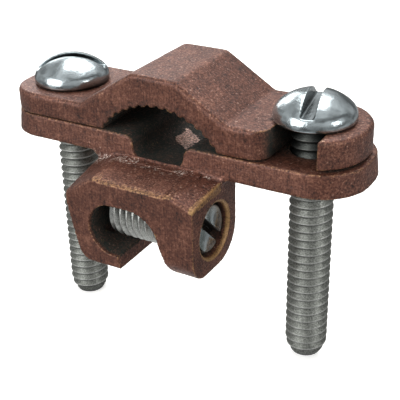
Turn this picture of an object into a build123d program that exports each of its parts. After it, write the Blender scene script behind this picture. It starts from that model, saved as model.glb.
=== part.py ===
from build123d import *
from math import asin, atan2, degrees, radians, tan
import os

os.makedirs("parts", exist_ok=True)

# Earth rod clamp, in millimetres.
# Origin: centre of the rod seat, on the plane where the two jaws part.
# X runs along the jaws, Y along the rod, Z up towards the screw heads.

# Both jaws
bar_width = 15.9
parting_gap = 0.1           # the jaws stand apart by this much
left_end_reach = 7.2        # from the left screw's axis to the bars' end
left_end_flat = 4.9         # straight stretch across that end

# Clamp screws, 1/4-20 by 38
screw_spacing = 40.8
screw_radius = 3.15
screw_length = 38.1
screw_tip_chamfer = 0.8
head_radius = 5.8
head_height = 4.1
head_rim = 0.5
head_crown_flatness = 1.16  # radius of the dome's top, against one plain arc over the whole head
head_slot_width = 1.9
head_slot_depth = 2.3
left_slot_angle = 33
right_slot_angle = 101
thread_clearance = 0.05     # shank in a tapped hole
shank_clearance = 0.4       # shank in the upper jaw's plain hole

# Upper jaw
left_wing_height = 3.3
right_wing_height = 4.4
hump_height = 9.3
plateau_left = 4.2
plateau_right = 3.0
hump_foot_left = 13.5
hump_foot_right = 10.9
hump_radius = 1.6
foot_radius = 1.2
wing_radius = 0.7           # worn upper edges
upper_end_reach = 7.9       # from the right screw's axis to the bar's end
upper_end_flat = 0.7
swing_slot_width = 7.1
swing_slot_wall = 3.4       # from the right screw's axis to the slot's outer wall
swing_mouth_radius = 2.4
tab_lift = 0.45             # rise of the right end's underside
tab_bend = 7.4              # from the right screw's axis to where that rise starts

# Serrated arch
arch_span = 18.9
arch_height = 4.8
tooth_count = 15
tooth_depth = 0.45

# Lower jaw
bar_thickness = 3.6
bar_draft = 6               # degrees, wider towards the underside
lower_end_reach = 8.4       # from the right screw's axis to the bar's end
lower_end_flat = 2.1
notch_width = 8.4
notch_depth = 3.5
notch_floor_radius = 1.8
notch_lip_radius = 1.5
saddle_width = 15.2         # flat of the saddle's underside
saddle_foot_width = 22.6

# Lay-in lug: hangs from the saddle and stands out in front of the bar
lug_front = 16.4
lug_depth = 12.4            # front to back
lug_half_width = 10.5
crown_left = 4.9            # flat top of the lug's front face
crown_right = 6.1
crown_drop = 2.95
left_shoulder_drop = 6.5
right_shoulder_drop = 4.9
root_crown_left = 6.8       # the same where the lug meets the bar
root_crown_right = 8.0
root_left_drop = 4.8
root_right_drop = 3.8
hook_waist_drop = 8.6
hook_ankle = 8.9
hook_heel = 7.5
hook_floor = 2.1            # metal under the channel
hook_heel_rise = 1.5        # from the hook's underside up to its ankle
heel_radius = 1.5
hook_tip = 1.6
boss_floor = 2.12           # metal under the set screw
boss_front_radius = 3.6
boss_back_radius = 5.2
edge_chamfer = 0.3          # worn edges of the lug's front face

# Wire channel through the lug, open below between hook and boss
channel_radius = 3.95
channel_x = -2.75
channel_z = -11.15
throat_x = 4.7
throat_z = -11.3
boss_foot = 6.6
hook_turn = 190             # how far the channel's round wall turns, to the hook's tip

# Wire set screw, 5/16-24, headless and slotted
set_screw_radius = 3.93
set_screw_set_back = 6.2    # from the lug's front face to the screw's axis
set_screw_z = -10.55
set_screw_tip = -5.2
set_screw_recess = 0.8
set_screw_chamfer = 0.7
bore_run_out = 1.45         # the bore goes on this far past the tip, into the channel's wall
bore_mouth_chamfer = 0.35
set_slot_width = 1.5
set_slot_depth = 1.7
set_slot_angle = -45

# Sizes that follow from those above
half_width = bar_width / 2
saddle_depth = notch_depth + bar_thickness
saddle_half_width = half_width + (bar_thickness - parting_gap) * tan(radians(bar_draft))
screw_x = screw_spacing / 2
bar_end = screw_x + bar_width
swing_slot_x = screw_x + swing_slot_wall - swing_slot_width / 2
dome_height = head_height - head_rim
plain_dome_radius = (head_radius ** 2 + dome_height ** 2) / (2 * dome_height)
head_crown_radius = head_crown_flatness * plain_dome_radius
dome_shoulder_radius = (
    (head_crown_radius ** 2 - head_radius ** 2 - (head_crown_radius - dome_height) ** 2)
    / (2 * (head_crown_radius - head_radius))
)
dome_shoulder_angle = degrees(
    atan2(head_crown_radius - dome_height, head_radius - dome_shoulder_radius)
)
lug_back = lug_front - lug_depth
hook_drop = channel_radius + hook_floor - channel_z
hook_ankle_drop = hook_drop - hook_heel_rise
boss_drop = set_screw_radius + boss_floor - set_screw_z
set_screw_y = set_screw_set_back - lug_front
set_screw_length = lug_half_width - set_screw_recess - set_screw_tip
arch_radius = (arch_span ** 2 / 4 + arch_height ** 2) / (2 * arch_height)
arch_half_angle = degrees(asin(arch_span / 2 / arch_radius))
tooth_angle = 2 * arch_half_angle / tooth_count
tooth_side = tooth_depth * 2 ** 0.5


def clamp_screw(x, seat_height, slot_angle):
    """Round-headed slotted screw at x, with its head seated at seat_height."""
    with BuildPart() as screw:
        with BuildSketch(Plane.XZ.shift_origin((x, 0, seat_height))):
            with BuildLine():
                shoulder = CenterArc(
                    (head_radius - dome_shoulder_radius, head_rim),
                    dome_shoulder_radius,
                    0,
                    arc_size=dome_shoulder_angle,
                )
                crown = TangentArc(shoulder @ 1, (0, head_height), tangent=shoulder % 1)
                Polyline(
                    crown @ 1,
                    (0, -screw_length),
                    (screw_radius - screw_tip_chamfer, -screw_length),
                    (screw_radius, screw_tip_chamfer - screw_length),
                    (screw_radius, 0),
                    (head_radius, 0),
                    (head_radius, head_rim),
                )
            make_face()
        revolve(axis=Axis((x, 0, 0), (0, 0, 1)))
        with BuildSketch(Plane((x, 0, seat_height + head_height))):
            Rectangle(3 * head_radius, head_slot_width, rotation=slot_angle)
        extrude(amount=-head_slot_depth, mode=Mode.SUBTRACT)
    return screw


def bar_outline(plane, right_reach, right_flat):
    """Plan of a jaw's bar, round at the right end and squarer at the left."""
    with BuildSketch(plane) as outline:
        with Locations((-screw_x - left_end_reach, 0)):
            Rectangle(
                screw_spacing + left_end_reach + right_reach, bar_width, align=(Align.MIN, Align.CENTER)
            )
        fillet(outline.vertices().group_by(Axis.X)[0], (bar_width - left_end_flat) / 2)
        fillet(outline.vertices().group_by(Axis.X)[-1], (bar_width - right_flat) / 2)
    return outline.sketch


def across_lug(x):
    """Plane square to the set screw, centred on it."""
    return Plane((x, set_screw_y, set_screw_z), x_dir=(0, 1, 0), z_dir=(1, 0, 0))


# Upper jaw: front outline pulled across the bar, rounded ends, then the cuts
with BuildPart() as upper_jaw:
    with BuildSketch(Plane.XZ) as upper_outline:
        with BuildLine():
            Polyline(
                (-bar_end, 0),
                (-bar_end, left_wing_height),
                (-hump_foot_left, left_wing_height),
                (-plateau_left, hump_height),
                (plateau_right, hump_height),
                (hump_foot_right, right_wing_height),
                (bar_end, right_wing_height),
                (bar_end, tab_lift),
                (screw_x - tab_bend, 0),
                close=True,
            )
        make_face()
        feet = [
            corner
            for corner in upper_outline.vertices()
            if corner.X in (-hump_foot_left, hump_foot_right)
        ]
        fillet(feet, foot_radius)
        fillet(upper_outline.vertices().group_by(Axis.Y)[-1], hump_radius)
    extrude(amount=half_width, both=True)
    extrude(
        bar_outline(Plane.XY, upper_end_reach, upper_end_flat), amount=hump_height, mode=Mode.INTERSECT
    )
    fillet(upper_jaw.edges().filter_by(lambda edge: edge.center().Z > left_wing_height / 2), wing_radius)
    with BuildSketch(Plane.XZ):
        with Locations((0, arch_height - arch_radius)):
            Circle(arch_radius)
            with PolarLocations(
                arch_radius, tooth_count, 90 - arch_half_angle + tooth_angle / 2, 2 * arch_half_angle
            ):
                Rectangle(tooth_side, tooth_side, rotation=45)
    extrude(amount=half_width, both=True, mode=Mode.SUBTRACT)
    with Locations((-screw_x, 0, 0)):
        Hole(screw_radius + shank_clearance)
    with BuildSketch():
        with Locations((swing_slot_x, -half_width)):
            Rectangle(swing_slot_width, bar_width)
        with Locations((swing_slot_x, 0)):
            Circle(swing_slot_width / 2)
        with Locations((swing_slot_x - swing_slot_width / 2, -half_width)):
            Rectangle(swing_mouth_radius, swing_mouth_radius, align=(Align.MAX, Align.MIN))
        with Locations(
            (swing_slot_x - swing_slot_width / 2 - swing_mouth_radius, swing_mouth_radius - half_width)
        ):
            Circle(swing_mouth_radius, mode=Mode.SUBTRACT)
    extrude(amount=hump_height, mode=Mode.SUBTRACT)
upper_jaw.part.label = "upper_jaw"
export_step(upper_jaw.part, "parts/upper_jaw.step")


# Lower jaw: bar, saddle under the rod, and the lug with its wire channel
lug_below = [
    (lug_half_width, -boss_drop),
    (boss_foot, -boss_drop),
    (-hook_tip, -hook_drop),
    (-hook_heel, -hook_drop),
    (-hook_ankle, -hook_ankle_drop),
    (-lug_half_width, -hook_waist_drop),
]
root_outline = [
    (-lug_half_width, -root_left_drop),
    (-root_crown_left, -notch_depth),
    (root_crown_right, -notch_depth),
    (lug_half_width, -root_right_drop),
    *lug_below,
]
front_outline = [
    (-lug_half_width, -left_shoulder_drop),
    (-crown_left, -crown_drop),
    (crown_right, -crown_drop),
    (lug_half_width, -right_shoulder_drop),
    *lug_below,
]
with BuildPart() as lower_jaw:
    extrude(
        bar_outline(Plane.XY.offset(-parting_gap), lower_end_reach, lower_end_flat),
        amount=parting_gap - bar_thickness,
        taper=-bar_draft,
    )
    with BuildSketch(Plane.XZ):
        Polygon(
            (-saddle_foot_width / 2, -bar_thickness / 2),
            (-saddle_foot_width / 2, -bar_thickness),
            (-saddle_width / 2, -saddle_depth),
            (saddle_width / 2, -saddle_depth),
            (saddle_foot_width / 2, -bar_thickness),
            (saddle_foot_width / 2, -bar_thickness / 2),
            align=None,
        )
    extrude(amount=saddle_half_width, both=True)

    # The lug's top changes shape from the bar out to the front face
    with BuildSketch(Plane.XZ.offset(lug_front)):
        Polygon(*front_outline, align=None)
    with BuildSketch(Plane.XZ.offset(saddle_half_width)):
        Polygon(*root_outline, align=None)
    loft(ruled=True)
    with BuildSketch(Plane.XZ.offset(lug_back)):
        Polygon(*root_outline, align=None)
    extrude(amount=saddle_half_width - lug_back)
    heel_edges = (
        lower_jaw.edges()
        .filter_by(Axis.Y)
        .filter_by_position(Axis.X, -hook_ankle, -hook_heel)
        .filter_by_position(Axis.Z, -hook_drop, -hook_ankle_drop)
    )
    fillet(heel_edges, heel_radius)

    # Notch for the rod
    with BuildSketch(Plane.XZ):
        with BuildLine():
            notch = FilletPolyline(
                (-notch_width, -parting_gap),
                (-notch_width / 2, -parting_gap),
                (-notch_width / 2, -notch_depth),
                (notch_width / 2, -notch_depth),
                (notch_width / 2, -parting_gap),
                (notch_width, -parting_gap),
                radius=(notch_lip_radius, notch_floor_radius, notch_floor_radius, notch_lip_radius),
            )
            Polyline(notch @ 1, (notch_width, 0), (-notch_width, 0), notch @ 0)
        make_face()
    extrude(amount=saddle_half_width, both=True, mode=Mode.SUBTRACT)

    # Wire channel, open below
    with BuildSketch(Plane.XZ.offset(lug_back)):
        with BuildLine():
            roof = Line((channel_x, channel_z + channel_radius), (0, channel_z + channel_radius))
            throat = TangentArc(roof @ 1, (throat_x, throat_z), tangent=(1, 0))
            wall = CenterArc((channel_x, channel_z), channel_radius, 90, arc_size=hook_turn)
            Polyline(
                throat @ 1,
                (boss_foot, -boss_drop),
                (boss_foot, -2 * hook_drop),
                (-hook_tip, -2 * hook_drop),
                (-hook_tip, -hook_drop),
                wall @ 1,
            )
        make_face()
    extrude(amount=lug_front - lug_back, mode=Mode.SUBTRACT)
    boss_edges = (
        lower_jaw.edges()
        .filter_by(Axis.X)
        .filter_by_position(Axis.Z, -boss_drop, -boss_drop)
        .sort_by(Axis.Y)
    )
    fillet(boss_edges[0], boss_front_radius)
    boss_edges = (
        lower_jaw.edges()
        .filter_by(Axis.X)
        .filter_by_position(Axis.Z, -boss_drop, -boss_drop)
        .sort_by(Axis.Y)
    )
    fillet(boss_edges[-1], boss_back_radius)
    worn_edges = (
        lower_jaw.edges()
        .filter_by(GeomType.LINE)
        .filter_by_position(Axis.Y, -lug_front, -lug_front)
        .filter_by_position(Axis.Z, -left_shoulder_drop, -crown_drop)
    )
    chamfer(worn_edges, edge_chamfer)

    # Tapped bores
    with BuildSketch(across_lug(set_screw_tip - bore_run_out)):
        Circle(set_screw_radius + thread_clearance)
    extrude(amount=lug_half_width + bore_run_out - set_screw_tip, mode=Mode.SUBTRACT)
    chamfer(lower_jaw.edges().filter_by(lambda edge: edge.is_closed).sort_by(Axis.X)[-1], bore_mouth_chamfer)
    with Locations((-screw_x, 0, 0), (screw_x, 0, 0)):
        Hole(screw_radius + thread_clearance)
lower_jaw.part.label = "lower_jaw"
export_step(lower_jaw.part, "parts/lower_jaw.step")


# Screws
left_clamp_screw = clamp_screw(-screw_x, left_wing_height, left_slot_angle)
left_clamp_screw.part.label = "left_clamp_screw"
export_step(left_clamp_screw.part, "parts/left_clamp_screw.step")

right_clamp_screw = clamp_screw(screw_x, right_wing_height, right_slot_angle)
right_clamp_screw.part.label = "right_clamp_screw"
export_step(right_clamp_screw.part, "parts/right_clamp_screw.step")

with BuildPart() as wire_set_screw:
    with BuildSketch(across_lug(set_screw_tip)):
        Circle(set_screw_radius)
    extrude(amount=set_screw_length)
    chamfer(wire_set_screw.edges().filter_by(GeomType.CIRCLE), set_screw_chamfer)
    with BuildSketch(across_lug(set_screw_tip + set_screw_length)):
        Rectangle(3 * set_screw_radius, set_slot_width, rotation=set_slot_angle)
    extrude(amount=-set_slot_depth, mode=Mode.SUBTRACT)
wire_set_screw.part.label = "wire_set_screw"
export_step(wire_set_screw.part, "parts/wire_set_screw.step")
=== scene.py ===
from math import cos, pi, radians, sin, tan

import bmesh
import bpy
from mathutils import Matrix, Vector


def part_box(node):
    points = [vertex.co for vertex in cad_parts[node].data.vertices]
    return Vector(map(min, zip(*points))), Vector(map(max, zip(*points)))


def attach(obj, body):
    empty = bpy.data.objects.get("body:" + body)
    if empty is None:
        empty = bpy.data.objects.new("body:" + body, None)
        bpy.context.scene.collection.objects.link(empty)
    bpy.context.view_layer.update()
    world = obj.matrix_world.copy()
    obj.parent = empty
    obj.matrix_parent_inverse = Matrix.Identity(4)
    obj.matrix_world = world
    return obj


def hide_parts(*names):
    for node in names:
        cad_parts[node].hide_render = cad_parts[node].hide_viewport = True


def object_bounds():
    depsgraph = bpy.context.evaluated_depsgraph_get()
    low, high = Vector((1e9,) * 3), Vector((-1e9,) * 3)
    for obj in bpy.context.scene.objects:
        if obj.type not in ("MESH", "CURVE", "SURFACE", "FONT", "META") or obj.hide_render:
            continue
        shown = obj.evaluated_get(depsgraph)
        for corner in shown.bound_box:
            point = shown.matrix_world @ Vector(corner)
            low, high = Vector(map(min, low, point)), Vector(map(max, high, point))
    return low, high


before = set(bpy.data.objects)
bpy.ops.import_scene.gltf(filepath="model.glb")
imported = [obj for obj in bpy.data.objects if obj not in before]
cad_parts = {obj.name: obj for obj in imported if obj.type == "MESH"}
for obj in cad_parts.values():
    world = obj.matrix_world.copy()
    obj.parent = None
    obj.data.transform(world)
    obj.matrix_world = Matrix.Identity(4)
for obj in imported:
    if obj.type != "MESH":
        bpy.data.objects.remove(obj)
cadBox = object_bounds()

mm = 0.001
scene = bpy.context.scene
scene.view_settings.view_transform = "Standard"


def linearColor(hexCode):
    # sRGB hex to linear, with full opacity
    channels = [int(hexCode[i:i + 2], 16) / 255 for i in (1, 3, 5)]
    return [c / 12.92 if c <= 0.04045 else ((c + 0.055) / 1.055) ** 2.4 for c in channels] + [1]


def addNode(tree, kind, settings={}, links={}):
    # settings name the node's own values or its inputs, links name inputs and give each its source
    node = tree.nodes.new(kind)
    for name, value in settings.items():
        if hasattr(node, str(name)):
            setattr(node, name, value)
        else:
            node.inputs[name].default_value = value
    for name, source in links.items():
        tree.links.new(source, node.inputs[name])
    return node


# Camera: angles in degrees, lengths in mm; the aim is from the frame's origin
viewSettings = {
    "azimuth": 30.853,
    "elevation": 27.637,
    "roll": 1.499,
    "distance": 132.776,
    "aimRight": 1.2286,
    "aimUp": -11.4436,
    "lens": 81.054,
    "shiftX": 0.01474,
    "shiftY": -0.0021,
}


def makeCamera(s):
    azimuth, elevation, roll = (radians(s[k]) for k in ("azimuth", "elevation", "roll"))
    back = Vector((sin(azimuth) * cos(elevation), -cos(azimuth) * cos(elevation), sin(elevation)))
    level = Vector((cos(azimuth), sin(azimuth), 0))
    upright = back.cross(level)
    right = cos(roll) * level - sin(roll) * upright
    up = sin(roll) * level + cos(roll) * upright
    camera = bpy.data.objects.new("camera", bpy.data.cameras.new("camera"))
    camera.data.lens = s["lens"]
    camera.data.shift_x = s["shiftX"]
    camera.data.shift_y = s["shiftY"]
    camera.data.clip_start = 0.005
    place = (right * s["aimRight"] + up * s["aimUp"] + back * s["distance"]) * mm
    turn = Matrix((right, up, back)).transposed()
    camera.matrix_world = Matrix.Translation(place) @ turn.to_4x4()
    scene.collection.objects.link(camera)
    scene.camera = camera


makeCamera(viewSettings)
print("camera set")


# Mesh helpers
def makeObject(name, mesh):
    made = bpy.data.objects.new(name, mesh)
    scene.collection.objects.link(made)
    return made


def fromBmesh(name, bm):
    mesh = bpy.data.meshes.new(name)
    bm.to_mesh(mesh)
    bm.free()
    return makeObject(name, mesh)


def bakeModifiers(piece):
    # turns the modifiers' result into the piece's own mesh
    graph = bpy.context.evaluated_depsgraph_get()
    mesh = bpy.data.meshes.new_from_object(piece.evaluated_get(graph))
    piece.modifiers.clear()
    piece.data = mesh
    return piece


def addModifier(piece, kind, settings):
    modifier = piece.modifiers.new(kind.lower(), kind)
    for name, value in settings.items():
        setattr(modifier, name, value)


def copyOfNode(name, node, above=None):
    # the CAD node as one welded shell, or only what lies above a height
    bm = bmesh.new()
    bm.from_mesh(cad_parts[node].data)
    bmesh.ops.remove_doubles(bm, verts=bm.verts[:], dist=0.002 * mm)
    if above is not None:
        bmesh.ops.bisect_plane(bm, geom=bm.verts[:] + bm.edges[:] + bm.faces[:], dist=1e-7,
                               plane_co=(0, 0, above), plane_no=(0, 0, -1), clear_outer=True)
        bmesh.ops.holes_fill(bm, edges=[e for e in bm.edges if e.is_boundary], sides=0)
    return fromBmesh(name, bm)


# Castings: sand-cast bronze with lumps, grit and rounded edges
castingSettings = {
    "voxel": {"upper_jaw": 0.17, "lower_jaw": 0.205},
    "smoothTurns": 3,
    "lumpSize": 3.2,
    "lumpHeight": 0.07,
    "gritSize": 0.55,
    "gritHeight": 0.06,
    "inset": 0.8,               # over 0.5, the lumps stay inside the true size
}


def cloudTexture(name, size, depth):
    texture = bpy.data.textures.new(name, "CLOUDS")
    texture.noise_scale = size * mm
    texture.noise_depth = depth
    return texture


def makeCasting(name, node, s, shape=None):
    piece = copyOfNode(name, node)
    addModifier(piece, "REMESH", {
        "mode": "VOXEL",
        "voxel_size": s["voxel"][node] * mm,
        "use_smooth_shade": True,
    })
    if shape:
        bakeModifiers(piece)
        shape(piece.data.vertices)
    addModifier(piece, "SMOOTH", {"factor": 0.5, "iterations": s["smoothTurns"]})
    for kind, depth in (("lump", 1), ("grit", 2)):
        addModifier(piece, "DISPLACE", {
            "texture": cloudTexture(kind, s[kind + "Size"], depth),
            "texture_coords": "LOCAL",
            "strength": s[kind + "Height"] * mm,
            "mid_level": s["inset"],
        })
    bakeModifiers(piece)
    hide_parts(node)
    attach(piece, node)
    print(name, len(piece.data.polygons), "faces")
    return piece


draftSettings = {
    "topHalfWidth": 7.95,       # of the lower bar, on its upper face
    "topLevel": -0.1,
    "lowLevel": -3.4,
    "draft": 6,                 # degrees
}


def blendSaddle(verts, s=draftSettings):
    # carries the bar's drafted sides across the saddle, with no step beside the notch
    for vert in verts:
        height = vert.co.z / mm
        limit = s["topHalfWidth"] + (s["topLevel"] - height) * tan(radians(s["draft"]))
        if height > s["lowLevel"] and abs(vert.co.y) / mm > limit:
            vert.co.y *= limit * mm / abs(vert.co.y)


upperCasting = makeCasting("upper_casting", "upper_jaw", castingSettings)
lowerCasting = makeCasting("lower_casting", "lower_jaw", castingSettings, blendSaddle)


# Threads: unified profile, right-hand, lengths in mm
threadSettings = {
    "stepsPerTurn": 56,
    "depthShare": 0.61,         # of the pitch
    "rootFlat": 0.17,
    "crestFlat": 0.12,
    "topRun": 0.6,              # how far the thread runs up into the head
    "endCurve": 1.5,            # 1 draws a cone at the end, 2 a round nose
}


def threadedRod(s, radius, pitch, length, lowEnd, highEnd):
    # stands on z = 0, and each end is drawn in by its depth over its run
    root = radius - s["depthShare"] * pitch
    flank = (1 - s["rootFlat"] - s["crestFlat"]) / 2
    foot = s["rootFlat"] / 2
    bm = bmesh.new()
    line = [
        bm.verts.new((reach * mm, 0, (station - 1) * pitch * mm))
        for reach, station in (
            (root, 0),
            (root, foot),
            (radius, foot + flank),
            (radius, 1 - foot - flank),
            (root, 1 - foot),
            (root, 1),
        )
    ]
    for low, high in zip(line, line[1:]):
        bm.edges.new((low, high))
    turns = int(length / pitch) + 3
    steps = s["stepsPerTurn"]
    bmesh.ops.spin(bm, geom=bm.verts[:] + bm.edges[:], cent=(0, 0, 0), axis=(0, 0, 1),
                   dvec=(0, 0, pitch / steps * mm), angle=2 * pi * turns, steps=steps * turns,
                   use_duplicate=False)
    bmesh.ops.remove_doubles(bm, verts=bm.verts[:], dist=0.001 * mm)
    for height, normal in ((0, -1), (length, 1)):
        bmesh.ops.bisect_plane(bm, geom=bm.verts[:] + bm.edges[:] + bm.faces[:], dist=1e-7,
                               plane_co=(0, 0, height * mm), plane_no=(0, 0, normal), clear_outer=True)
    bmesh.ops.holes_fill(bm, edges=[e for e in bm.edges if e.is_boundary], sides=0)
    for vert in bm.verts:
        reach = vert.co.xy.length / mm
        for (depth, run), height in ((lowEnd, vert.co.z / mm), (highEnd, length - vert.co.z / mm)):
            limit = radius - depth * max(0, 1 - height / run) ** s["endCurve"]
            if reach > limit:
                vert.co.xy *= limit / reach
                reach = limit
    bmesh.ops.recalc_face_normals(bm, faces=bm.faces[:])
    for face in bm.faces:
        face.smooth = True
    return bm


# Clamp screws, 1/4-20
screwSettings = {
    "radius": 3.15,
    "pitch": 1.27,
    "tip": (0.95, 2.2),         # depth and run of its rounding
    "headHeight": 4.04,         # rim to the top of the slotted dome
    "headRadius": 5.8,
    "underEdge": 0.3,           # rounding of the head's lower edge
    "voxel": 0.11,
    "smoothTurns": 5,
}


def roundUnder(piece, axis, seat, s):
    # draws the head in towards its seat along a quarter round
    for vert in piece.data.vertices:
        out = vert.co.xy - axis.xy
        depth = max(0, s["underEdge"] - (vert.co.z - seat) / mm)
        inset = s["underEdge"] - (s["underEdge"] ** 2 - min(depth, s["underEdge"]) ** 2) ** 0.5
        limit = (s["headRadius"] - inset) * mm
        if out.length > limit:
            vert.co.xy = axis.xy + out * limit / out.length


def makeClampScrew(name, node, s):
    low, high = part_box(node)
    axis = (low + high) / 2
    seat = high.z - s["headHeight"] * mm
    length = (seat - low.z) / mm + threadSettings["topRun"]
    rod = threadedRod(threadSettings, s["radius"], s["pitch"], length, s["tip"], (0, 1))
    bmesh.ops.translate(rod, verts=rod.verts[:], vec=(axis.x, axis.y, low.z))
    shank = fromBmesh(name + "_shank", rod)
    piece = copyOfNode(name, node, above=seat)
    addModifier(piece, "REMESH", {"mode": "VOXEL", "voxel_size": s["voxel"] * mm, "use_smooth_shade": True})
    bakeModifiers(piece)
    roundUnder(piece, axis, seat, s)
    addModifier(piece, "SMOOTH", {"factor": 0.5, "iterations": s["smoothTurns"]})
    addModifier(piece, "BOOLEAN", {"operation": "UNION", "solver": "EXACT", "object": shank})
    bakeModifiers(piece)
    bpy.data.objects.remove(shank)
    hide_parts(node)
    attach(piece, node)
    print(name, len(piece.data.polygons), "faces")
    return piece


leftScrew = makeClampScrew("left_screw", "left_clamp_screw", screwSettings)
rightScrew = makeClampScrew("right_screw", "right_clamp_screw", screwSettings)


# Wire set screw, 5/16-24, headless and slotted
setScrewSettings = {
    "radius": 3.93,
    "pitch": 1.058,
    "end": (0.7, 0.8),          # depth and run of both ends' rounding
    "edgeWear": 0.12,
    "slotWidth": 1.5,
    "slotDepth": 1.7,
    "slotAngle": -45,
}


def makeSetScrew(s):
    low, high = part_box("wire_set_screw")
    middle = (low + high) / 2
    rod = threadedRod(threadSettings, s["radius"], s["pitch"], (high.x - low.x) / mm, s["end"], s["end"])
    onItsSide = Matrix.Rotation(pi / 2, 3, "Y")
    bmesh.ops.rotate(rod, verts=rod.verts[:], cent=(0, 0, 0), matrix=onItsSide)
    bmesh.ops.translate(rod, verts=rod.verts[:], vec=(low.x, middle.y, middle.z))
    piece = fromBmesh("set_screw", rod)
    cutter = bmesh.new()
    slotSize = Vector((2 * s["slotDepth"], 3 * s["radius"], s["slotWidth"])) * mm
    slotTurn = Matrix.Rotation(radians(s["slotAngle"]), 3, "X")
    bmesh.ops.create_cube(cutter, size=1)
    bmesh.ops.scale(cutter, verts=cutter.verts[:], vec=slotSize)
    bmesh.ops.rotate(cutter, verts=cutter.verts[:], cent=(0, 0, 0), matrix=slotTurn)
    bmesh.ops.translate(cutter, verts=cutter.verts[:], vec=(high.x, middle.y, middle.z))
    slot = fromBmesh("slot", cutter)
    addModifier(piece, "BOOLEAN", {"operation": "DIFFERENCE", "solver": "EXACT", "object": slot})
    addModifier(piece, "BEVEL", {
        "width": s["edgeWear"] * mm,
        "segments": 2,
        "limit_method": "ANGLE",
        "angle_limit": radians(50),
    })
    bakeModifiers(piece)
    bpy.data.objects.remove(slot)
    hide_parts("wire_set_screw")
    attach(piece, "wire_set_screw")
    return piece


setScrew = makeSetScrew(setScrewSettings)
print("screws made")


# Red brass, sand-cast and tumbled: a dull brown skin under a thin tarnish that greys at a low angle,
# grit with painted glints of bare metal, thickest on what looks up, a painted pool of light on the seat's
# floor, linished lines on the front, golden worn edges, and dark oxide with painted shade where the rod and
# the wire lie, in the swing slot and in deep recesses
bronzeSettings = {
    "skinDark": "#25150F",
    "skinMiddle": "#6C4031",
    "skinLight": "#A2705A",
    # near-white colour of the painted glints in the grit
    "glint": "#F2E4D8",
    # colour of the painted pool of light on the seat's floor
    "litPatch": "#E6C4B4",
    "worn": "#BC925C",
    # dark oxide, also used as painted shade in the seat, the channel, the slot and deep recesses
    "oxideAndShade": "#2B332E",
    "tarnish": 0.38,
    "streakShare": 0.28,        # how much of the grain is linished lines, on the front faces
    "rootGlint": 0.15,        # extra painted glints where the lug springs from the bar
    "rimWear": 0.07,            # extra wear round the bore's mouth, and the next on the lug's shoulder
    "shoulderWear": 0.06,
    # sizes in mm
    "patchSize": 4.0,
    "mottleSize": 1.1,
    "gritSize": 0.3,            # real grit is finer; drawn this coarse to show
    "gritBump": 0.075,
    "streakWidth": 0.2,
    "streakLength": 3.5,
    "recessReach": 5.0,
    "seatRadius": 13.0,
    "seatDepth": 7.95,          # each way from the middle, just short of the bars' faces
    "seatFloor": -6.3,
    "seatWidth": 11.1,          # each side at the joint, and less below it
    "litPatchMiddle": (-0.7, 0.98),  # painted pool of light on the seat's floor: across, and along after its slant
    "litPatchHalf": (1.95, 2.15),
    "litPatchSlant": 0.8,
    "litPatchRagged": 1.2,           # how far its edge wanders
}

# Lines that the wear, the painted glints, and the oxide and painted shade keep to, each along the axis that
# it leaves out, in mm
wearGlintAndShadeLines = {
    "seat": {"X": 0, "Z": -6.9},
    "root": {"Y": -9.1, "Z": -4.3},
    "bore": {"Y": -10.2, "Z": -10.55},
    "shoulder": {"X": 10.5, "Z": -4.6},
    "channel": {"X": -2.75, "Z": -11.15},
    "slot": {"X": 20.4, "Y": -3.5},
}


def distanceFrom(tree, point, spot, line):
    free = ({"X", "Y", "Z"} - set(line)).pop()
    foot = addNode(tree, "ShaderNodeCombineXYZ", {axis: place * mm for axis, place in line.items()},
                   {free: spot.outputs[free]})
    gap = addNode(tree, "ShaderNodeVectorMath", {"operation": "DISTANCE"}, {0: point, 1: foot.outputs[0]})
    return gap.outputs["Value"]


def within(tree, limits):
    # 1 where every value is past its second number, fading to 0 at its first
    product = None
    for value, outer, inner in limits:
        share = addNode(tree, "ShaderNodeMapRange", {"From Min": outer, "From Max": inner}, {"Value": value})
        if product:
            share = addNode(tree, "ShaderNodeMath", {"operation": "MULTIPLY"},
                            {0: product, 1: share.outputs[0]})
        product = share.outputs[0]
    return product


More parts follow.
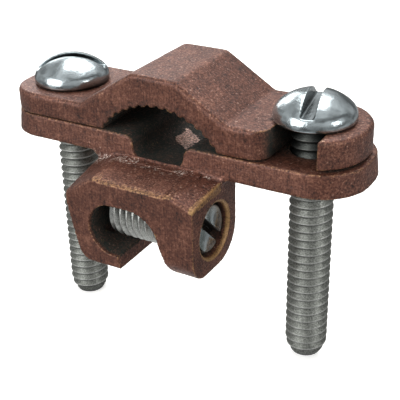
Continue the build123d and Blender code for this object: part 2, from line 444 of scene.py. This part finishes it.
def makeBronze(s):
    material = bpy.data.materials.new("castBronze")
    material.use_nodes = True
    tree = material.node_tree
    tree.nodes.clear()
    place = addNode(tree, "ShaderNodeTexCoord")
    point = place.outputs["Object"]
    spot = addNode(tree, "ShaderNodeSeparateXYZ", {}, {0: point})
    facing = addNode(tree, "ShaderNodeSeparateXYZ", {}, {0: place.outputs["Normal"]})
    distances = {name: distanceFrom(tree, point, spot, line) for name, line in wearGlintAndShadeLines.items()}

    # noise at four sizes
    patches = addNode(tree, "ShaderNodeTexNoise", {"Scale": 1 / (s["patchSize"] * mm), "Detail": 2.0},
                      {"Vector": point})
    mottle = addNode(tree, "ShaderNodeTexNoise", {"Scale": 1 / (s["mottleSize"] * mm), "Detail": 3.0},
                     {"Vector": point})
    grit = addNode(tree, "ShaderNodeTexNoise",
                   {"Scale": 1 / (s["gritSize"] * mm), "Detail": 3.0, "Roughness": 0.7}, {"Vector": point})
    stretch = addNode(tree, "ShaderNodeMapping",
                      {"Scale": (1 / (s["streakWidth"] * mm), 0, 1 / (s["streakLength"] * mm))},
                      {"Vector": point})
    streaks = addNode(tree, "ShaderNodeTexNoise", {"Scale": 1.0, "Detail": 2.0},
                      {"Vector": stretch.outputs[0]})

    # skin: grit everywhere, crossed by the linished lines on the faces that look to the front
    front = addNode(tree, "ShaderNodeMapRange",
                    {"From Min": -0.8, "From Max": -0.97, "To Max": s["streakShare"]},
                    {"Value": facing.outputs["Y"]})
    grain = addNode(tree, "ShaderNodeMix", {"data_type": "FLOAT"},
                    {0: front.outputs[0], 2: grit.outputs[0], 3: streaks.outputs[0]})
    broad = addNode(tree, "ShaderNodeMath", {"operation": "ADD"},
                    {0: patches.outputs[0], 1: mottle.outputs[0]})
    softened = addNode(tree, "ShaderNodeMath", {"operation": "MULTIPLY_ADD", 1: 0.2, 2: -0.1},
                       {0: broad.outputs[0]})
    tone = addNode(tree, "ShaderNodeMath", {"operation": "MULTIPLY_ADD", 1: 0.8},
                   {0: grain.outputs[0], 2: softened.outputs[0]})
    skin = addNode(tree, "ShaderNodeValToRGB", {}, {0: tone.outputs[0]})
    skin.color_ramp.elements[0].position = 0.34
    skin.color_ramp.elements[0].color = linearColor(s["skinDark"])
    skin.color_ramp.elements[1].position = 0.68
    skin.color_ramp.elements[1].color = linearColor(s["skinLight"])
    skin.color_ramp.elements.new(0.5).color = linearColor(s["skinMiddle"])

    # painted glints: near-white specks of bare metal in the grit, thickest on what looks up and in spots at
    # the lug's root, standing in for highlights
    glintAtRoot = within(tree, (
        (distances["root"], 1.9 * mm, 0.9 * mm),
        (patches.outputs[0], 0.44, 0.54),
    ))
    upward = addNode(tree, "ShaderNodeMath", {"operation": "MULTIPLY_ADD", 1: 0.035},
                     {0: facing.outputs["Z"], 2: grain.outputs[0]})
    glintChance = addNode(tree, "ShaderNodeMath", {"operation": "MULTIPLY_ADD", 1: s["rootGlint"]},
                     {0: glintAtRoot, 2: upward.outputs[0]})
    glintShare = addNode(tree, "ShaderNodeMapRange", {"From Min": 0.68, "From Max": 0.75, "To Max": 0.8},
                         {"Value": glintChance.outputs[0]})
    glinted = addNode(tree, "ShaderNodeMix", {"data_type": "RGBA", 7: linearColor(s["glint"])},
                       {0: glintShare.outputs[0], 6: skin.outputs[0]})

    # golden worn edges, broken up by the grain
    atRim = within(tree, (
        (distances["bore"], 4.55 * mm, 4.35 * mm),
        (spot.outputs["X"], 9.7 * mm, 10.0 * mm),
    ))
    atShoulder = within(tree, (
        (distances["shoulder"], 0.9 * mm, 0.6 * mm),
        (spot.outputs["Y"], -8.2 * mm, -8.5 * mm),
    ))
    shape = addNode(tree, "ShaderNodeNewGeometry")
    sharp = shape.outputs["Pointiness"]
    for share, wear in ((atRim, s["rimWear"]), (atShoulder, s["shoulderWear"])):
        sharper = addNode(tree, "ShaderNodeMath", {"operation": "MULTIPLY_ADD", 1: wear},
                          {0: share, 2: sharp})
        sharp = sharper.outputs[0]
    edge = addNode(tree, "ShaderNodeMath", {"operation": "MULTIPLY_ADD", 1: 0.2},
                   {0: grain.outputs[0], 2: sharp})
    bareShare = addNode(tree, "ShaderNodeMapRange", {"From Min": 0.63, "From Max": 0.7, "To Max": 0.85},
                        {"Value": edge.outputs[0]})
    worn = addNode(tree, "ShaderNodeMix", {"data_type": "RGBA", 7: linearColor(s["worn"])},
                   {0: bareShare.outputs[0], 6: glinted.outputs[2]})

    # dark oxide and painted shade: all through the rod seat ...
    across = addNode(tree, "ShaderNodeMath", {"operation": "ABSOLUTE"}, {0: spot.outputs["X"]})
    along = addNode(tree, "ShaderNodeMath", {"operation": "ABSOLUTE"}, {0: spot.outputs["Y"]})
    steep = addNode(tree, "ShaderNodeMath", {"operation": "ABSOLUTE"}, {0: facing.outputs["Z"]})
    sloping = addNode(tree, "ShaderNodeMath", {"operation": "MULTIPLY_ADD", 1: -0.6},
                      {0: spot.outputs["Z"], 2: across.outputs[0]})
    ragged = addNode(tree, "ShaderNodeMath", {"operation": "MULTIPLY_ADD", 1: 4 * mm},
                     {0: mottle.outputs[0], 2: sloping.outputs[0]})
    seatBounds = within(tree, (
        (distances["seat"], s["seatRadius"] * mm, (s["seatRadius"] - 0.4) * mm),
        (along.outputs[0], s["seatDepth"] * mm, (s["seatDepth"] - 0.3) * mm),
        (spot.outputs["Z"], s["seatFloor"] * mm, (s["seatFloor"] + 0.6) * mm),
        (ragged.outputs[0], (s["seatWidth"] + 2) * mm, (s["seatWidth"] + 1) * mm),
    ))
    aboveJoint = within(tree, ((spot.outputs["Z"], -0.1 * mm, 0.2 * mm),))
    notUnder = within(tree, ((facing.outputs["Z"], -0.6, -0.3),))
    seatSide = addNode(tree, "ShaderNodeMath", {"operation": "MAXIMUM"}, {0: aboveJoint, 1: notUnder})
    inSeat = addNode(tree, "ShaderNodeMath", {"operation": "MULTIPLY"},
                     {0: seatBounds, 1: seatSide.outputs[0]})

    # ... on the walls of the wire channel and of the swing slot, and in every deep recess, as painted shade
    # from occlusion
    inChannel = within(tree, (
        (distances["channel"], 4.5 * mm, 4.25 * mm),
        (spot.outputs["Y"], -16.2 * mm, -15.7 * mm),
    ))
    slotShade = within(tree, (
        (distances["slot"], 6.0 * mm, 4.4 * mm),
        (steep.outputs[0], 0.7, 0.4),
        (spot.outputs["Z"], 0.1 * mm, 0.3 * mm),
        (facing.outputs["Y"], -0.9, -0.7),
    ))
    recess = addNode(tree, "ShaderNodeAmbientOcclusion", {"samples": 8, "Distance": s["recessReach"] * mm})
    covered = within(tree, ((recess.outputs["AO"], 0.45, 0.1),))
    for share in (inSeat.outputs[0], inChannel, slotShade):
        wider = addNode(tree, "ShaderNodeMath", {"operation": "MAXIMUM"}, {0: share, 1: covered})
        covered = wider.outputs[0]

    # ... but for a painted pool of light on the seat's floor, bright and gritty
    slanted = addNode(tree, "ShaderNodeMath", {"operation": "MULTIPLY_ADD", 1: s["litPatchSlant"]},
                      {0: spot.outputs["X"], 2: spot.outputs["Y"]})
    litPatchLimits = [(spot.outputs["Z"], -3.0 * mm, -3.2 * mm)]
    for value, middle, half in zip((spot.outputs["X"], slanted.outputs[0]), s["litPatchMiddle"], s["litPatchHalf"]):
        offset = addNode(tree, "ShaderNodeMath", {"operation": "SUBTRACT", 1: middle * mm}, {0: value})
        distance = addNode(tree, "ShaderNodeMath", {"operation": "ABSOLUTE"}, {0: offset.outputs[0]})
        wandering = addNode(tree, "ShaderNodeMath", {"operation": "MULTIPLY_ADD", 1: -s["litPatchRagged"] * mm},
                            {0: mottle.outputs[0], 2: distance.outputs[0]})
        reach = half - s["litPatchRagged"] / 2
        litPatchLimits.append((wandering.outputs[0], (reach + 0.25) * mm, (reach - 0.35) * mm))
    gritty = addNode(tree, "ShaderNodeMath", {"operation": "MULTIPLY_ADD", 1: 1.556},
                     {0: grit.outputs[0], 2: within(tree, litPatchLimits)})
    litPatch = addNode(tree, "ShaderNodeMapRange", {"From Min": 1.056, "From Max": 1.5, "To Max": 0.9},
                     {"Value": gritty.outputs[0]})
    glitter = addNode(tree, "ShaderNodeMapRange", {"From Min": 0.42, "From Max": 0.6, "To Min": 0.15},
                      {"Value": grit.outputs[0]})
    shine = addNode(tree, "ShaderNodeMath", {"operation": "MULTIPLY"},
                    {0: litPatch.outputs[0], 1: glitter.outputs[0]})
    brightened = addNode(tree, "ShaderNodeMix",
                         {"data_type": "RGBA", "blend_type": "ADD", 7: linearColor(s["litPatch"])},
                         {0: shine.outputs[0], 6: worn.outputs[2]})

    outsideLitPatch = addNode(tree, "ShaderNodeMath", {"operation": "SUBTRACT", 0: 1.0}, {1: litPatch.outputs[0]})
    patchy = addNode(tree, "ShaderNodeMapRange",
                     {"From Min": 0.42, "From Max": 0.62, "To Min": 1.0, "To Max": 0.68},
                     {"Value": tone.outputs[0]})
    closed = addNode(tree, "ShaderNodeMath", {"operation": "MULTIPLY"}, {0: covered, 1: patchy.outputs[0]})
    oxideAndShadeShare = addNode(tree, "ShaderNodeMath", {"operation": "MULTIPLY"},
                         {0: closed.outputs[0], 1: outsideLitPatch.outputs[0]})
    color = addNode(tree, "ShaderNodeMix", {"data_type": "RGBA", 7: linearColor(s["oxideAndShade"])},
                    {0: oxideAndShadeShare.outputs[0], 6: brightened.outputs[2]})

    # gloss and relief; the oxide and painted shade are matt, with little metal and no tarnish
    tarnish = addNode(tree, "ShaderNodeMapRange", {"To Min": s["tarnish"], "To Max": 0.03},
                      {"Value": oxideAndShadeShare.outputs[0]})
    metal = addNode(tree, "ShaderNodeMapRange", {"To Min": 0.5, "To Max": 0.1},
                    {"Value": oxideAndShadeShare.outputs[0]})
    grainRough = addNode(tree, "ShaderNodeMapRange",
                         {"From Min": 0.3, "From Max": 0.7, "To Min": 0.62, "To Max": 0.34},
                         {"Value": grain.outputs[0]})
    rough = addNode(tree, "ShaderNodeMix", {"data_type": "FLOAT", 3: 0.95},
                    {0: oxideAndShadeShare.outputs[0], 2: grainRough.outputs[0]})
    height = addNode(tree, "ShaderNodeMath", {"operation": "MULTIPLY_ADD", 1: 0.6},
                     {0: mottle.outputs[0], 2: grain.outputs[0]})
    bump = addNode(tree, "ShaderNodeBump", {"Strength": 1.0, "Distance": s["gritBump"] * mm},
                   {"Height": height.outputs[0]})
    shader = addNode(tree, "ShaderNodeBsdfPrincipled", {"Coat Roughness": 0.4}, {
        "Base Color": color.outputs[2],
        "Roughness": rough.outputs[0],
        "Metallic": metal.outputs[0],
        "Normal": bump.outputs[0],
        "Coat Weight": tarnish.outputs[0],
        "Coat Normal": bump.outputs[0],
    })
    addNode(tree, "ShaderNodeOutputMaterial", {}, {"Surface": shader.outputs[0]})
    return material


# Zinc-plated steel, barrel plated: cold white shine on heads and ends, dented and slightly hazy; in the
# rolled threads a dull speckled grey with crests rubbed bright under a painted highlight, roots in painted
# shade, and grime with painted shade where little light gets in
clampZincSettings = {
    "bright": "#B5BFC2",
    # crests rubbed bright, with a painted highlight
    "crest": "#FAFBF8",
    "dull": "#93958F",
    "dark": "#60635E",
    # painted shade in the thread roots
    "root": "#2E312F",
    # grime, with painted shade where little light gets in
    "grimeAndShade": "#191D1D",
    "gripShade": 0.65,          # painted shade on the thread that the jaws grip
    "shinyRough": 0.14,
    "threadRough": 0.42,
    # sizes in mm
    "dentSize": 1.4,
    "dentHeight": 0.08,
    "speckleSize": 0.2,
    "recessReach": 6.0,
    "seatLevel": 3.2,           # threads lie below this
}
setZincSettings = {
    **clampZincSettings,
    "dull": "#DCDED9",
    "dark": "#A9ABA6",
    "threadRough": 0.26,
    "seatLevel": None,          # its threads are told from its ends by the way they face
}


def makeZinc(name, s):
    material = bpy.data.materials.new(name)
    material.use_nodes = True
    tree = material.node_tree
    tree.nodes.clear()
    place = addNode(tree, "ShaderNodeTexCoord")
    point = place.outputs["Object"]
    dents = addNode(tree, "ShaderNodeTexNoise", {"Scale": 1 / (s["dentSize"] * mm), "Detail": 3.0},
                    {"Vector": point})
    speckle = addNode(tree, "ShaderNodeTexNoise", {"Scale": 1 / (s["speckleSize"] * mm), "Detail": 2.0},
                      {"Vector": point})

    # grime with painted shade where little light gets in, and painted shade on the thread between the jaws
    recess = addNode(tree, "ShaderNodeAmbientOcclusion", {"samples": 8, "Distance": s["recessReach"] * mm})
    grimeAndShadeShare = addNode(tree, "ShaderNodeMapRange", {"From Min": 0.55, "From Max": 0.3, "To Max": 0.95},
                         {"Value": recess.outputs["AO"]})
    if s["seatLevel"]:
        spot = addNode(tree, "ShaderNodeSeparateXYZ", {}, {0: point})
        underHead = (spot.outputs["Z"], (s["seatLevel"] + 0.05) * mm, (s["seatLevel"] - 0.05) * mm)
        threaded = within(tree, (underHead,))
        gripped = within(tree, (underHead, (spot.outputs["Z"], -0.4 * mm, 0.1 * mm)))
        inGrip = addNode(tree, "ShaderNodeMath", {"operation": "MULTIPLY", 1: s["gripShade"]}, {0: gripped})
        grimeAndShadeShare = addNode(tree, "ShaderNodeMath", {"operation": "MAXIMUM"},
                             {0: grimeAndShadeShare.outputs[0], 1: inGrip.outputs[0]})
    else:
        facing = addNode(tree, "ShaderNodeSeparateXYZ", {}, {0: place.outputs["Normal"]})
        threaded = within(tree, ((facing.outputs["X"], 0.98, 0.93),))

    # threads: speckled flanks, crests rubbed bright with a painted highlight, and roots in painted shade
    shape = addNode(tree, "ShaderNodeNewGeometry")
    flank = within(tree, ((speckle.outputs[0], 0.35, 0.65),))
    crest = within(tree, ((shape.outputs["Pointiness"], 0.545, 0.6),))
    root = within(tree, ((shape.outputs["Pointiness"], 0.48, 0.43),))
    threadColor = addNode(tree, "ShaderNodeMix",
                          {"data_type": "RGBA", 6: linearColor(s["dark"]), 7: linearColor(s["dull"])},
                          {0: flank})
    for share, tint in ((crest, "crest"), (root, "root")):
        threadColor = addNode(tree, "ShaderNodeMix", {"data_type": "RGBA", 7: linearColor(s[tint])},
                              {0: share, 6: threadColor.outputs[2]})
    color = addNode(tree, "ShaderNodeMix", {"data_type": "RGBA", 6: linearColor(s["bright"])},
                    {0: threaded, 7: threadColor.outputs[2]})
    grimedAndShaded = addNode(tree, "ShaderNodeMix", {"data_type": "RGBA", 7: linearColor(s["grimeAndShade"])},
                    {0: grimeAndShadeShare.outputs[0], 6: color.outputs[2]})

    # gloss and dents
    base = addNode(tree, "ShaderNodeMapRange", {"To Min": s["shinyRough"], "To Max": s["threadRough"]},
                   {"Value": threaded})
    rough = addNode(tree, "ShaderNodeMath", {"operation": "MULTIPLY_ADD", 1: 0.16},
                    {0: dents.outputs[0], 2: base.outputs[0]})
    metal = addNode(tree, "ShaderNodeMapRange", {"To Min": 1.0, "To Max": 0.7}, {"Value": threaded})
    bump = addNode(tree, "ShaderNodeBump", {"Strength": 1.0, "Distance": s["dentHeight"] * mm},
                   {"Height": dents.outputs[0]})
    shader = addNode(tree, "ShaderNodeBsdfPrincipled", {}, {
        "Base Color": grimedAndShaded.outputs[2],
        "Roughness": rough.outputs[0],
        "Metallic": metal.outputs[0],
        "Normal": bump.outputs[0],
    })
    addNode(tree, "ShaderNodeOutputMaterial", {}, {"Surface": shader.outputs[0]})
    return material


bronze = makeBronze(bronzeSettings)
clampZinc = makeZinc("zincPlatedSteel", clampZincSettings)
setZinc = makeZinc("zincPlatedSetScrew", setZincSettings)
for piece, material in (
    (upperCasting, bronze),
    (lowerCasting, bronze),
    (leftScrew, clampZinc),
    (rightScrew, clampZinc),
    (setScrew, setZinc),
):
    piece.data.materials.clear()
    piece.data.materials.append(material)
    for polygon in piece.data.polygons:
        polygon.use_smooth = True
print("materials set")


# Floor and light
studioSettings = {
    "floorGap": 0.02,
    "floorColor": "#F4F4F2",
    "floorHalf": 1500,
    "floorGlow": 0.62,          # keeps the paper white without adding light to the object
    "backdropHeight": 1500,     # pale wall round the floor's edge, for the low views
    "backdropGlow": 0.9,
    "skyTop": 0.6,              # light from straight above, from the horizon and from below
    "skyHorizon": 0.27,
    "skyBelow": 0.62,
    "skyPatches": 2.2,          # how many soft bright patches across the sky
}


def makePaper(name, bm, glow, s):
    # matt white paper that lights itself, and not the object
    bmesh.ops.translate(bm, verts=bm.verts[:], vec=(0, 0, cadBox[0].z - s["floorGap"] * mm))
    paper = fromBmesh(name, bm)
    material = bpy.data.materials.new("palePaper")
    material.use_nodes = True
    shader = material.node_tree.nodes["Principled BSDF"]
    shader.inputs["Base Color"].default_value = linearColor(s["floorColor"])
    shader.inputs["Roughness"].default_value = 0.9
    shader.inputs["Emission Color"].default_value = linearColor(s["floorColor"])
    shader.inputs["Emission Strength"].default_value = glow
    paper.data.materials.append(material)
    paper.visible_glossy = False
    paper.visible_diffuse = False
    return paper


def makeBackdrop(s):
    bm = bmesh.new()
    bmesh.ops.create_grid(bm, x_segments=1, y_segments=1, size=s["floorHalf"] * mm)
    makePaper("floor", bm, s["floorGlow"], s)
    bm = bmesh.new()
    bmesh.ops.create_circle(bm, segments=64, radius=s["floorHalf"] * mm)
    wall = bmesh.ops.extrude_edge_only(bm, edges=bm.edges[:])
    top = [v for v in wall["geom"] if isinstance(v, bmesh.types.BMVert)]
    bmesh.ops.translate(bm, verts=top, vec=(0, 0, s["backdropHeight"] * mm))
    makePaper("backdrop", bm, s["backdropGlow"], s).visible_shadow = False


lampSettings = {
    # places and widths in mm, power in watts; each lamp aims at the origin
    "topLamp": {"place": (-60, 180, 400), "size": 340, "power": 1.15},
    "frontLamp": {"place": (-200, -460, 180), "size": 400, "power": 1.7},
    "rightLamp": {"place": (420, -60, 140), "size": 120, "power": 0.5},
    "backLamp": {"place": (-440, 380, 230), "size": 260, "power": 0.55},
}


def makeLamp(name, s):
    lamp = bpy.data.objects.new(name, bpy.data.lights.new(name, "AREA"))
    lamp.data.size = s["size"] * mm
    lamp.data.energy = s["power"]
    lamp.location = Vector(s["place"]) * mm
    lamp.rotation_euler = (-lamp.location).to_track_quat("-Z", "Y").to_euler()
    scene.collection.objects.link(lamp)


def makeWorld(s):
    # a soft sky, brightest overhead
    world = bpy.data.worlds.new("studio")
    world.use_nodes = True
    tree = world.node_tree
    tree.nodes.clear()
    ray = addNode(tree, "ShaderNodeTexCoord")
    split = addNode(tree, "ShaderNodeSeparateXYZ", {}, {0: ray.outputs["Generated"]})
    sky = addNode(tree, "ShaderNodeValToRGB", {}, {0: within(tree, ((split.outputs["Z"], -1.0, 1.0),))})
    sky.color_ramp.elements[0].color = [s["skyBelow"]] * 3 + [1]
    sky.color_ramp.elements[1].color = [s["skyTop"]] * 3 + [1]
    sky.color_ramp.elements.new(0.5).color = [s["skyHorizon"]] * 3 + [1]
    patches = addNode(tree, "ShaderNodeTexNoise", {"Scale": s["skyPatches"], "Detail": 1.0},
                      {"Vector": ray.outputs["Generated"]})
    strength = addNode(tree, "ShaderNodeMapRange",
                       {"From Min": 0.38, "From Max": 0.62, "To Min": 0.3, "To Max": 1.7},
                       {"Value": patches.outputs[0]})
    background = addNode(tree, "ShaderNodeBackground", {},
                         {"Color": sky.outputs[0], "Strength": strength.outputs[0]})
    addNode(tree, "ShaderNodeOutputWorld", {}, {"Surface": background.outputs[0]})
    scene.world = world


makeBackdrop(studioSettings)
makeWorld(studioSettings)
for name, settings in lampSettings.items():
    makeLamp(name, settings)
print("studio set")
